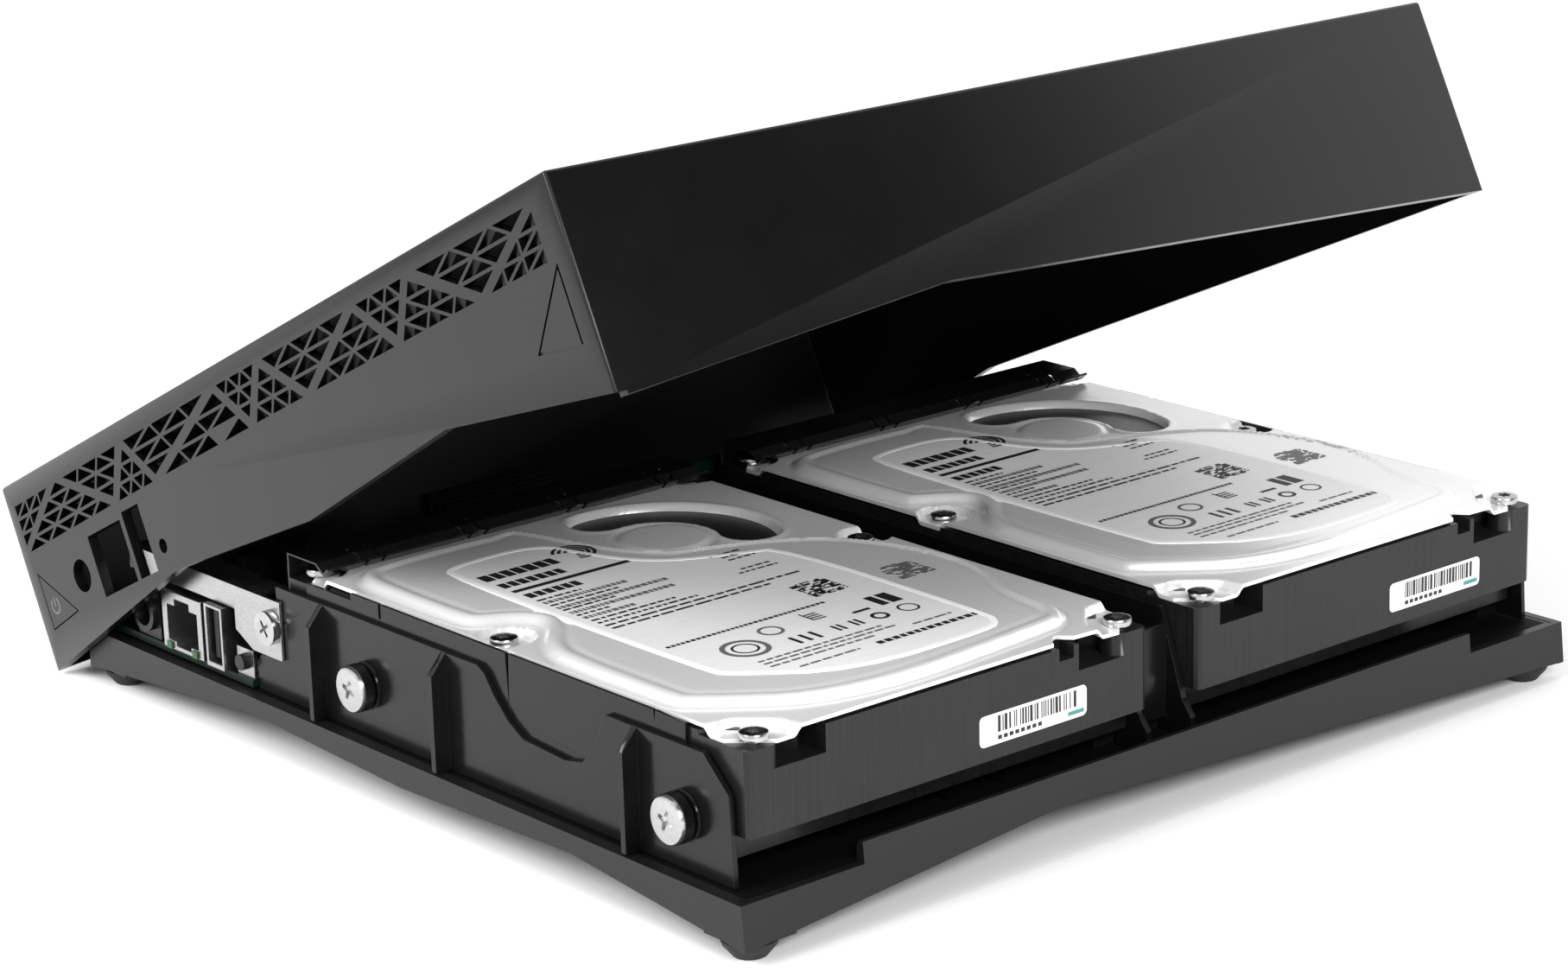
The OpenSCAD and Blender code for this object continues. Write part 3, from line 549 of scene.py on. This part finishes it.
# ------------------------------------------------------------------ disks
# outlines seen from above, u from the free end and v from the side at the ports
DOME = [(1.6, 27), (21, 3.0), (25, 1.7), (57, 1.7), (64, 3.4), (70, 7), (75, 11.5), (80, 13.6),
        (84, 10), (87, 4.6), (90, 2.0), (122, 2.0), (128, 4), (133, 9), (133, 45), (126, 48),
        (118, 50), (108, 52.5), (101, 56), (97, 60), (94, 66), (91, 74), (86, 83), (80, 90),
        (70, 95.5), (60, 98.4), (50, 99.2), (40, 97), (30, 93), (20, 92.3), (13, 91.5), (8, 88),
        (6.3, 84)]
PLAN = [(0.3, 7.4), (0.3, 76.6), (2.6, 78.0), (3.6, 80.3), (0.9, 82.6), (0.3, 94.2), (7.0, 101.3),
        (139.0, 101.3), (145.7, 94.2), (145.7, 7.4), (139.0, 0.3), (7.0, 0.3)]
LABEL = [(12, 37), (27, 18.5), (31, 16.5), (115, 16.5), (120, 21), (120, 43.5), (107, 47),
         (98, 50.5), (92, 55.5), (88, 62.5), (85, 70), (81.5, 78), (20, 78), (15, 76.5), (12, 72)]
PLATEAU = 1.25    # height of the dome's flat top over the flange
EAR_DROP = 1.55   # depth of the screw ears under the flange
SHEET = 0.75      # thickness of the cover
GRID = 0.6        # pitch of the cover's mesh
WELL = (107, 66)  # middle of the curved well's arc
WELL_R, WELL_HALF, WELL_ENDS = 19.2, 6.9, (-5, 117)
BOSS, BOSS_R = (107, 67), 9.8
SPINDLE = (52, 50)
SCREW_U = (3.6, 79.0, DISK_L - 4.6)
SCREW_V = (4.6, DISK_W - 4.6)
LABEL_SEED, BARCODE_SEED = 7, 40


def smooth(x, a, b):
    """Rises from 0 at a to 1 at b with soft ends."""
    t = np.clip((x - a) / (b - a), 0, 1)
    return t * t * (3 - 2 * t)


def signed(loop, u, v):
    """Distance of points from a closed outline, positive inside."""
    pts = np.array(loop, float)
    d = np.full(u.shape, 1e9)
    inside = np.zeros(u.shape, bool)
    for (x0, y0), (x1, y1) in zip(pts, np.roll(pts, -1, 0)):
        ex, ey = x1 - x0, y1 - y0
        t = np.clip(((u - x0) * ex + (v - y0) * ey) / (ex * ex + ey * ey), 0, 1)
        d = np.minimum(d, np.hypot(u - x0 - t * ex, v - y0 - t * ey))
        crosses = (y0 > v) != (y1 > v)
        inside ^= crosses & (u < x0 + (v - y0) / (ey if abs(ey) > 1e-9 else 1e-9) * ex)
    return np.where(inside, d, -d)


def line(off, width):
    """A narrow ridge or groove, off from its middle line."""
    return np.exp(-(off / width) ** 2)


def cover_height(u, v):
    """Height of the stamped cover over its flange."""
    d = signed(chaikin(DOME, 3), u, v)
    tight = smooth(v, 52, 66) * smooth(u, 20, 40) + smooth(u, 93, 99) * smooth(v, 38, 44)
    d = d / (1 - 0.5 * np.clip(tight, 0, 1))
    z = PLATEAU * smooth(d, 0, 1.6) - 0.14 * line(d + 0.7, 0.5)
    z += 0.32 * (smooth(d, 1.4, 2.2) - smooth(d, 3.2, 4.2)) - 0.18 * line(d - 4.9, 0.7)
    # curved well over the voice coil and the round boss inside it
    du, dv = u - WELL[0], v - WELL[1]
    angle = np.degrees(np.arctan2(dv, du))
    on_arc = np.abs(np.hypot(du, dv) - WELL_R)
    to_ends = [np.hypot(du - WELL_R * math.cos(math.radians(e)),
                        dv - WELL_R * math.sin(math.radians(e))) for e in WELL_ENDS]
    beside = (angle > WELL_ENDS[0]) & (angle < WELL_ENDS[1])
    far = np.where(beside, on_arc, np.minimum(*to_ends))
    z -= 3.9 * smooth(WELL_HALF - far, 0, 2.6)
    z += 0.24 * line(far - 7.4, 0.8)
    r = np.hypot(u - BOSS[0], v - BOSS[1])
    z += 0.34 * smooth(BOSS_R - r, 0, 1.1) - 0.20 * line(r - 10.7, 0.7)
    # faint ring over the spindle
    r = np.hypot(u - SPINDLE[0], v - SPINDLE[1])
    z -= 0.05 * line(r - 15, 1.5) * smooth(d, 6, 9)
    # stepped corners down to the screw ears
    for e in (u, DISK_L - 1 - u):
        for w in (v, DISK_W - v):
            riser = smooth(17.0 - e - w, 0, 0.5)
            side = smooth(12.7 - e - 0.15 * w, 0, 1.8) * smooth(13.3 - w - 0.15 * e, 0, 1.8)
            z -= (z + EAR_DROP) * riser * side
    for x, y, r0 in ((78.4, 4.6, 6.3), (79.2, 98.4, 5.9)):
        z -= (z + EAR_DROP) * smooth(r0 - np.hypot(u - x, v - y), 0, 1.0)
    return z


def height_solid():
    """The cover as a thin solid sheet a little over its whole plan, before it is trimmed."""
    us = np.arange(-GRID, DISK_L - 0.5 + GRID, GRID)
    vs = np.arange(-GRID, DISK_W + 0.6 + GRID, GRID)
    u, v = np.meshgrid(us, vs, indexing="ij")
    z = FLANGE + cover_height(u, v)
    nu, nv = u.shape
    b = bmesh.new()
    top = [[b.verts.new((u[i, j], v[i, j], z[i, j])) for j in range(nv)] for i in range(nu)]
    low = [[b.verts.new((u[i, j], v[i, j], z[i, j] - SHEET)) for j in range(nv)] for i in range(nu)]
    for i in range(nu - 1):
        for j in range(nv - 1):
            b.faces.new((top[i][j], top[i + 1][j], top[i + 1][j + 1], top[i][j + 1]))
            b.faces.new((low[i][j], low[i][j + 1], low[i + 1][j + 1], low[i + 1][j]))
    rim = ([(i, 0) for i in range(nu)] + [(nu - 1, j) for j in range(1, nv)]
           + [(i, nv - 1) for i in range(nu - 2, -1, -1)] + [(0, j) for j in range(nv - 2, 0, -1)])
    for (i, j), (k, m) in zip(rim, rim[1:] + rim[:1]):
        b.faces.new((top[i][j], low[i][j], low[k][m], top[k][m]))
    s = Shape()
    s.bm.free()
    s.bm = b
    return s


def disk_place(n):
    """From the cover's own corner, beside the ports and the free end, to the tray's frame."""
    edge = 108.7 if n == 1 else -7.1
    return Matrix(((1, 0, 0, DISK_X0), (0, -1, 0, edge), (0, 0, 1, 0), (0, 0, 0, 1)))


def cover_shape():
    """The stamped sheet, trimmed to the cover's plan."""
    plan = Shape().prism(PLAN, FLANGE - 8, FLANGE + 4, "xy")
    return height_solid().cut(plan, operation="INTERSECT", solver="MANIFOLD")


def print_marks():
    """Plain bars, squares and rings in place of the label's wording."""
    rng = random.Random(LABEL_SEED)
    z0 = FLANGE + PLATEAU + 0.10
    z1 = z0 + 0.03
    dark, pale = Shape(), Shape()

    def bar(s, u0, u1, v0, v1):
        s.prism(rectangle(u0, u1, v0, v1), z0, z1, "xy")

    def dashes(s, u, w, v0, v1, words, gap):
        """A row w high at u, from v0 to v1, of bars as long as words."""
        v = v0
        while v < v1 - 0.4:
            e = min(v1, v + rng.uniform(*words))
            bar(s, u - w / 2, u + w / 2, v, e)
            v = e + gap

    # heading rows, a rule between them and rings beside them
    bar(dark, 95.9, 97.4, 20, 49.5)
    for u, w, v1 in ((101.2, 3.2, 36.5), (92.4, 3.0, 33.5)):
        dashes(dark, u, w, 20.3, v1, (1.7, 2.1), 0.5)
    dashes(dark, 107.6, 4.0, 20.3, 39.0, (2.0, 2.5), 0.5)
    for r in (1.8, 3.1, 4.4):
        dark.strip(arc(109.5, 45.2, r, -70, 200, 22), 0.75, z0, z1, closed=False)
    # rows of small print and striped rows
    for u, w, v1 in ((88.6, 0.8, 31), (86.4, 1.5, 41), (84.2, 0.8, 37), (81.9, 1.5, 48),
                     (80.1, 0.8, 33), (77.7, 1.5, 46), (75.6, 0.8, 28), (73.4, 1.4, 33),
                     (71.0, 0.8, 41), (68.9, 0.8, 45)):
        if w < 1:
            dashes(dark, u, w, 20, v1, (0.9, 2.4), 0.5)
        else:
            dashes(pale, u, w, 20, v1, (0.5, 1.4), 0.35)
    dashes(dark, 66.6, 0.8, 20, 69.5, (1.5, 4.5), 0.6)
    dashes(dark, 64.4, 0.8, 20, 60, (1.5, 4.5), 0.6)
    dashes(dark, 47.7, 1.0, 20, 60, (0.7, 1.0), 0.35)
    for u, v0, v1 in ((86.6, 62.5, 71), (84.4, 64, 71), (82.2, 64, 71), (75.9, 62, 69.5),
                      (73.9, 60, 70)):
        dashes(dark, u, 0.7, v0, v1, (0.9, 2.0), 0.5)
    dashes(dark, 21.4, 1.6, 50.5, 76, (1.1, 1.6), 0.5)
    for u, v0, v1 in ((28.8, 27, 58), (27.1, 27, 60), (25.2, 27, 53), (25.2, 63, 73),
                      (21.4, 31, 46)):
        dashes(pale, u, 0.7, v0, v1, (1.0, 3.5), 0.5)
    # machine-readable squares, as plain random checks
    for u0, v0, n, pitch, s in ((51.2, 60.8, 18, 0.5, dark), (47.6, 80.8, 16, 0.56, pale)):
        for i in range(n):
            j = 0
            while j < n:
                run = rng.choice((1, 1, 2, 3))
                if rng.random() < 0.55:
                    bar(s, u0 + i * pitch, u0 + (i + 1) * pitch, v0 + j * pitch,
                        v0 + min(n, j + run) * pitch)
                j += run
    # generic symbols: filled squares, rings and short bars
    bar(dark, 38.0, 44.0, 66.6, 68.6)
    bar(dark, 38.0, 44.0, 69.4, 72.2)
    bar(dark, 38.0, 39.0, 59.2, 63.6)
    for k in range(4):
        bar(dark, 40.4 + k * 1.1, 40.9 + k * 1.1, 50.8, 54.2)
    bar(dark, 40.4, 45.2, 50.8, 51.2)
    for cu, cv, r, w, m in ((36.8, 30.5, 4.5, 1.1, pale), (36.8, 30.5, 2.6, 0.5, dark),
                            (41.5, 40.8, 2.4, 0.7, pale), (33.6, 69.4, 2.1, 0.5, dark),
                            (33.6, 62.0, 1.6, 0.8, dark)):
        m.strip(arc(cu, cv, r, 0, 345, 23), w, z0, z1)
    for cv in (51.5, 56.0):
        bar(dark, 32.0, 35.4, cv - 1.1, cv - 0.4)
        bar(dark, 32.0, 35.4, cv + 0.3, cv + 1.0)
    for cv in (40, 42.5, 45):
        bar(dark, 31.6, 35.8, cv, cv + 0.9)
    return dark, pale


def make_label(name, place):
    """Foil label with a raised pale border and its print."""
    top = FLANGE + PLATEAU
    loop = chaikin(LABEL, 2)
    foil = Shape().prism(loop, top - 0.2, top + 0.08, "xy")
    bmesh.ops.reverse_faces(foil.bm, faces=foil.bm.faces)
    foil.done(name + "_label_foil", M["label"], slot="label_foil", stands_for=[name + "_label"],
              matrix=place)
    border = Shape().strip(inset_loop(loop, 0.8), 1.3, top, top + 0.14)
    border.done(name + "_label_border", M["border"], matrix=place)
    dark, pale = print_marks()
    dark.done(name + "_label_print", M["ink"], matrix=place)
    pale.done(name + "_label_print_pale", M["ink_pale"], matrix=place)


def make_end_sticker(n, name, place):
    """Sticker with plain bars on the disk's free end."""
    rng = random.Random(BARCODE_SEED + n)
    inked = (-0.16, -0.1)    # from the end face outwards
    sticker = Shape().prism(round_rect(56.7, 84.9, 24.1, 30.3, 1.1), -0.12, 0.0, "yz")
    sticker.done(name + "_end_sticker", M["paper"], slot="sticker_paper",
                 stands_for=[name + "_sticker"], matrix=place)
    bars = Shape()
    v = 61.4
    while v < 81.8:
        w = rng.choice((0.25, 0.25, 0.45, 0.7))
        bars.prism(rectangle(v, v + w, 26.4, 29.7), *inked, "yz")
        v += w + rng.choice((0.3, 0.3, 0.5, 0.8))
    v = 61.4
    while v < 73:
        bars.prism(rectangle(v, v + 1.0, 24.9, 25.7), *inked, "yz")
        v += 1.5
    bars.done(name + "_end_bars", M["ink"], matrix=place)
    dash = Shape().prism(rectangle(79.9, 84.1, 24.9, 25.7), *inked, "yz")
    dash.done(name + "_end_dash", M["teal"], matrix=place)


def make_disk(n):
    """Stamped cover, label and end sticker of a disk."""
    place = TO_ROW @ disk_place(n)
    name = f"disk_{n}"
    cover = cover_shape()
    bmesh.ops.reverse_faces(cover.bm, faces=cover.bm.faces)
    cover.done(name + "_cover_sheet", M["cover"], slot="cover_aluminium",
               stands_for=[name + "_cover"], smooth=35, matrix=place)
    make_label(name, place)
    make_end_sticker(n, name, place)


def round_rect(x0, x1, y0, y1, r, n=5):
    """Corners of a rectangle, rounded by r."""
    out = []
    for cx, cy, a in ((x1 - r, y0 + r, -90), (x1 - r, y1 - r, 0), (x0 + r, y1 - r, 90),
                      (x0 + r, y0 + r, 180)):
        out += arc(cx, cy, r, a, a + 90, n)
    return out


def inset_loop(loop, g):
    """An outline moved inwards by g, point by point."""
    pts = [Vector(p) for p in loop]
    area = sum(a.cross(b) for a, b in zip(pts, pts[1:] + pts[:1]))
    if area < 0:
        pts.reverse()
    out = []
    for i, p in enumerate(pts):
        d0 = (p - pts[i - 1]).normalized()
        d1 = (pts[(i + 1) % len(pts)] - p).normalized()
        m = (Vector((-d0.y, d0.x)) + Vector((-d1.y, d1.x))).normalized()
        out.append(tuple(p + m * g))
    return out


def star(r0, r1, n=6):
    """Six-lobed socket outline."""
    pts = []
    for i in range(n * 4):
        r = r1 + (r0 - r1) * (0.5 + 0.5 * math.cos(2 * math.pi * i / 4))
        a = 2 * math.pi * i / (n * 4)
        pts.append((r * math.cos(a), r * math.sin(a)))
    return pts


def make_disk_screws(n):
    """Pan heads with six-lobed sockets, in the CAD's places."""
    s = Shape()
    base = DISK_TOP - 0.08
    for u in SCREW_U:
        for v in SCREW_V:
            head = Shape().lathe([(0, 0), (2.86, 0), (2.9, 0.15), (2.9, 0.95), (2.72, 1.32),
                                  (2.3, 1.48), (0, 1.5)], (u, v, base), "z", 40)
            head.cut(Shape().prism([(u + p, v + q) for p, q in star(1.55, 1.0)],
                                   base + 0.45, base + 3, "xy"))
            s.merge(head.bm)
            s.lathe([(0, -3), (1.3, -3), (1.3, 0.1), (0, 0.1)], (u, v, base), "z", 20)
    s.done(f"disk_{n}_head_screws", M["steel"], stands_for=[f"disk_{n}_screws"],
           matrix=TO_ROW @ disk_place(n), smooth=32)


TEETH = 48       # of a thumbscrew's knurled rim
# outline of its cross slot
CROSS = ((-2.1, -0.42), (-0.6, -0.6), (-0.42, -2.1), (0.42, -2.1), (0.6, -0.6), (2.1, -0.42),
         (2.1, 0.42), (0.6, 0.6), (0.42, 2.1), (-0.42, 2.1), (-0.6, 0.6), (-2.1, 0.42))


def make_thumbscrew(k, x, side):
    """Knurled black head with a bright cross-slotted face."""
    y0, y1 = RAIL_Y + 0.5, THUMB_Y - 0.05
    rim = []
    for i in range(TEETH * 2):
        r = 4.95 if i % 2 else 4.65
        a = math.pi * i / TEETH
        rim.append((x + r * math.cos(a), HOLE_Z + r * math.sin(a)))
    head = Shape().prism(rim, y0 + 0.5, y1 - 1.0, "xz", 0.0)
    head.lathe([(0, 0), (4.0, 0), (4.5, 0.5), (4.5, 0.7), (0, 0.7)], (x, y0, HOLE_Z), "y", 48)
    head.lathe([(0, 0), (1.85, 0), (1.85, 1.2), (0, 1.2)], (x, y0 - 1.0, HOLE_Z), "y", 24)
    face = Shape().lathe([(0, 0), (4.75, 0), (4.75, 0.5), (4.55, 0.9), (4.2, 1.08), (0, 1.12)],
                         (x, y1 - 1.1, HOLE_Z), "y", 64)
    c, q = math.cos(math.radians(20)), math.sin(math.radians(20))
    cross = [(x + c * p - q * w, HOLE_Z + q * p + c * w) for p, w in CROSS]
    face.cut(Shape().prism(cross, y1 - 0.75, y1 + 1, "xz"))
    for s in (head, face):
        if side < 0:
            s.mirror_y()
    head.done(f"thumb_head_{k}", M["knurl"], f"thumb_{k}", "thumb_black",
              [f"thumbscrew_{k}"], 25)
    face.done(f"thumb_face_{k}", M["nickel"], f"thumb_{k}", None, (), 35)


def make_power_mark():
    """Plain ring-and-bar switch symbol on the power key."""
    sunk = LY - 0.11     # inner face of the mark, which is inlaid flush with the key
    s = Shape().strip(arc(107.4, 16.0, 1.7, -235, 55, 24), 0.45, sunk, LY, closed=False, plane="xz")
    s.prism(rectangle(107.2, 107.6, 15.8, 18.0), sunk, LY, "xz")
    s.done("power_symbol", M["symbol"], "power_key", matrix=OPENED)


for n in (1, 2):
    make_disk(n)
    make_disk_screws(n)
    for part, width in (("body", 0.35), ("board", 0.1)):
        soften(f"disk_{n}_{part}", width)
for k, (side, x) in enumerate([(side, x) for side in (1, -1) for x in HOLE_X], 1):
    make_thumbscrew(k, x, side)
make_power_mark()

for node, width in (("tray", 0.35), ("rail_rear", 0.25), ("rail_front", 0.25),
                    ("rail_middle", 0.2), ("liner_1", 0.12), ("liner_2", 0.12),
                    ("cable_guard_1", 0.1), ("cable_guard_2", 0.1), ("port_bracket", 0.12),
                    ("network_socket", 0.15), ("usb_socket", 0.15), ("dc_socket", 0.2),
                    ("reset_switch", 0.15), ("power_button", 0.12), ("bracket_screw", 0.2)):
    soften(node, width)

# ------------------------------------------------------------------ camera
cam_data = bpy.data.cameras.new("camera")
cam = bpy.data.objects.new("camera", cam_data)
bpy.context.scene.collection.objects.link(cam)
cam_data.sensor_width, cam_data.lens = 36.0, 92.2
cam_data.clip_start, cam_data.clip_end = 0.05, 20
CAM_PLACE = Vector((-0.6457, 0.5375, 0.2872))
ahead = Vector((0.7352, -0.6166, -0.2815)).normalized()
right = Vector((-0.6484, -0.7608, -0.0270)).normalized()
up = right.cross(ahead).normalized()
right = ahead.cross(up).normalized()
cam.matrix_world = Matrix((right, up, -ahead)).transposed().to_4x4()
cam.matrix_world.translation = CAM_PLACE
bpy.context.scene.camera = cam


# ------------------------------------------------------------------ light and floor
def softbox(name, place, target, size, power):
    """A rectangular area light that faces its target."""
    data = bpy.data.lights.new(name, "AREA")
    data.shape, data.size, data.size_y, data.energy = "RECTANGLE", *size, power
    obj = bpy.data.objects.new(name, data)
    bpy.context.scene.collection.objects.link(obj)
    obj.location = place
    obj.rotation_mode = "QUATERNION"
    obj.rotation_quaternion = (Vector(target) - Vector(place)).to_track_quat("-Z", "Y")


softbox("key", (0.35, 1.5, 1.1), (0, 0, 0.0), (1.0, 0.8), 25)
softbox("front", (-1.55, 0.45, 0.98), (-0.02, 0, 0.03), (0.9, 0.5), 30)

# white studio with one dark side, which the lid's wide front face mirrors
DARK_WAY = (math.radians(-165), math.radians(40))     # azimuth and elevation of its middle
DARK_CORE, DARK_EDGE = math.radians(25), math.radians(42)
world = bpy.data.worlds.new("world")
bpy.context.scene.world = world
world.use_nodes = True
sky = world.node_tree
facing = sky.nodes.new("ShaderNodeVectorMath")
facing.operation = "DOT_PRODUCT"
turn, lift = DARK_WAY
facing.inputs[1].default_value = (math.cos(lift) * math.cos(turn), math.cos(lift) * math.sin(turn),
                                  math.sin(lift))
sky.links.new(sky.nodes.new("ShaderNodeTexCoord").outputs["Generated"], facing.inputs[0])
shade = sky.nodes.new("ShaderNodeMapRange")
shade.interpolation_type = "SMOOTHSTEP"
for key, value in (("From Min", math.cos(DARK_EDGE)), ("From Max", math.cos(DARK_CORE)),
                   ("To Min", 1.0), ("To Max", 0.01)):
    shade.inputs[key].default_value = value
sky.links.new(facing.outputs["Value"], shade.inputs["Value"])
sky.links.new(shade.outputs[0], sky.nodes["Background"].inputs[1])
sky.nodes["Background"].inputs[0].default_value = (1, 1, 1, 1)

fm = bmesh.new()
bmesh.ops.create_grid(fm, x_segments=24, y_segments=24, size=6.0)
floor = loose(fm, "studio_floor")
floor_paint = Paint("floor_paper", Roughness=0.9)
paper = floor_paint.ramp(floor_paint.noise(3.0), [(0.3, 0.93), (0.7, 0.95)])
floor_paint.set("Base Color", paper)
floor.data.materials.append(floor_paint.mat)
floor.location.z = cad_lo.z - 0.0002
bpy.context.scene.view_settings.view_transform = "Standard"
